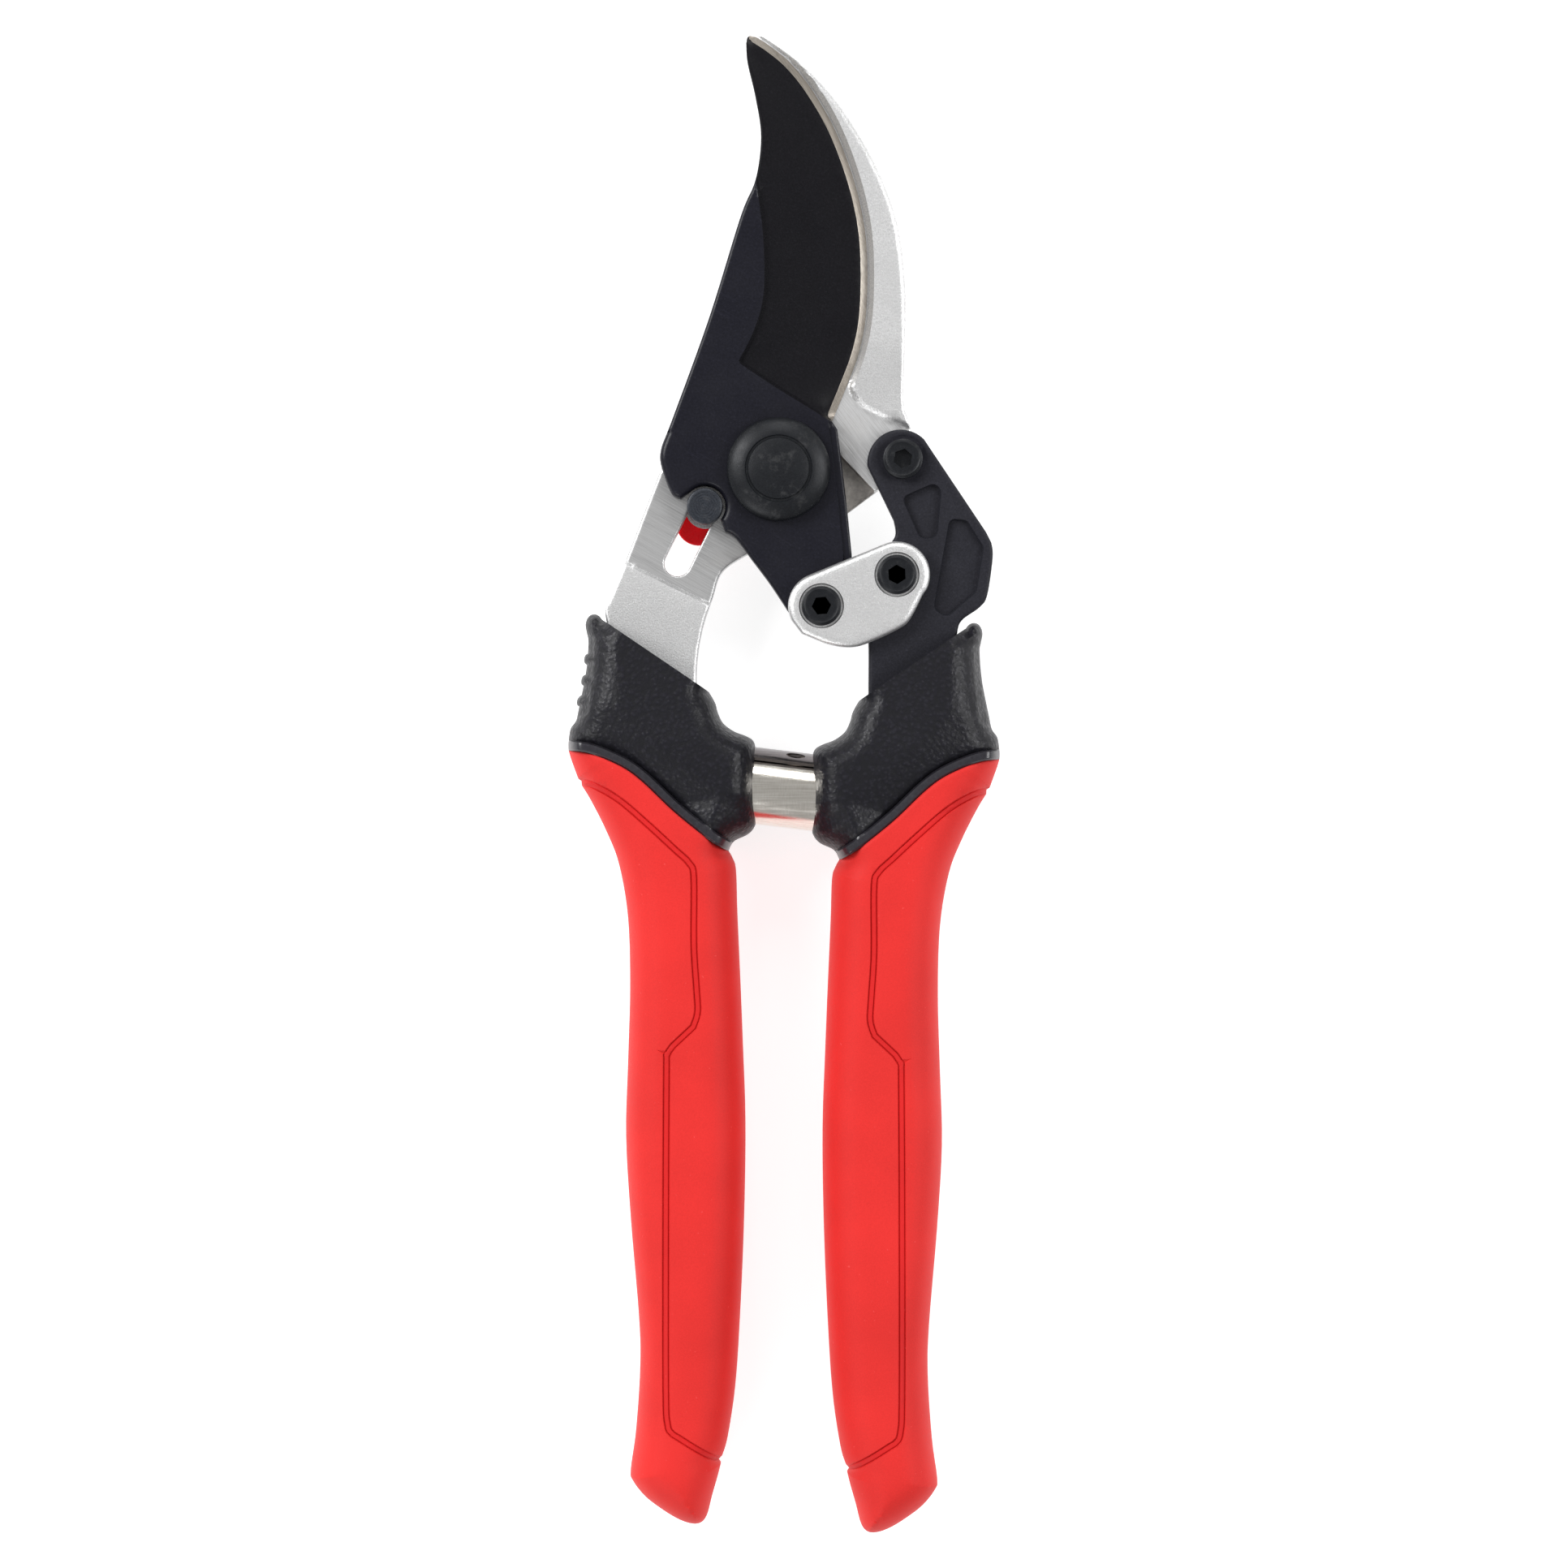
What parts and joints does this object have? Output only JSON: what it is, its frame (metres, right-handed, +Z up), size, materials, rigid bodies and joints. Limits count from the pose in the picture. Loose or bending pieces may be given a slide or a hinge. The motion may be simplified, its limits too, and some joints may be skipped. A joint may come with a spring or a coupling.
{
  "type": "pruning shears",
  "caption": "Compound-action bypass pruning shears with a curved black blade, a hook, a link and two moulded grips, closed and locked, lying flat.",
  "frame": {"origin": "middle of the outline in X and Y, on the surface that the shears lie on", "axes": "+Y towards the blade's tip, +X towards the lever's handle, +Z up, away from the surface"},
  "size_m": [0.064, 0.2217, 0.0184],
  "materials": {
    "forged_steel": "sandblasted and brushed steel",
    "coated_blade": "satin black non-stick coating",
    "black_oxide": "black oxide",
    "bright_steel": "plain steel",
    "charcoal_coat": "satin charcoal coating",
    "link_steel": "fine sandblasted steel",
    "lock_steel": "blued steel",
    "lock_red": "glossy red plastic",
    "spring_steel": "polished spring strip",
    "collar_plastic": "pebbled black plastic",
    "grip_rubber": "satin red soft-touch rubber"
  },
  "bodies": {
    "hook_side": {"hook_frame": "forged_steel", "pivot_bolt": "black_oxide", "pivot_washer": "bright_steel", "pivot_nut": "black_oxide", "lever_screw": "black_oxide", "lever_nut": "black_oxide", "return_spring": "spring_steel", "left_collar": "collar_plastic", "left_grip": "grip_rubber"},
    "blade": {"cutting_blade": "coated_blade", "tail_screw": "black_oxide", "tail_nut": "black_oxide"},
    "lever_side": {"lever": "charcoal_coat", "link_screw": "black_oxide", "link_nut": "black_oxide", "right_collar": "collar_plastic", "right_grip": "grip_rubber"},
    "link": {"link_plate": "link_steel"},
    "lock": {"lock_button": "lock_steel", "lock_washer": "bright_steel", "lock_slider": "lock_red"}
  },
  "joints": [
    {"name": "handle_hinge", "type": "hinge", "parent": "hook_side", "child": "lever_side", "pos_m": [0.0175, 0.0479, 0.0116], "axis": [0, 0, 1], "range_deg": [0, 26], "deforming": ["return_spring"]},
    {"name": "blade_hinge", "type": "hinge", "parent": "hook_side", "child": "blade", "pos_m": [-0.0008, 0.0464, 0.0116], "axis": [0, 0, 1], "range_deg": [0, 20.88]},
    {"name": "link_hinge", "type": "hinge", "parent": "lever_side", "child": "link", "pos_m": [0.0166, 0.0308, 0.0145], "axis": [0, 0, 1], "range_deg": [-37.6, 0]},
    {"name": "lock_slide", "type": "slide", "parent": "hook_side", "child": "lock", "axis": [-0.4429, -0.8966, 0], "range_m": [0, 0.00926]}
  ],
  "couplings": [
    {"joint": "blade_hinge", "follows": "handle_hinge", "ratio": 0.803},
    {"joint": "link_hinge", "follows": "handle_hinge", "ratio": -1.446},
    {"joint": "lock_slide", "follows": "handle_hinge", "m_per_rad": 0.02041}
  ]
}
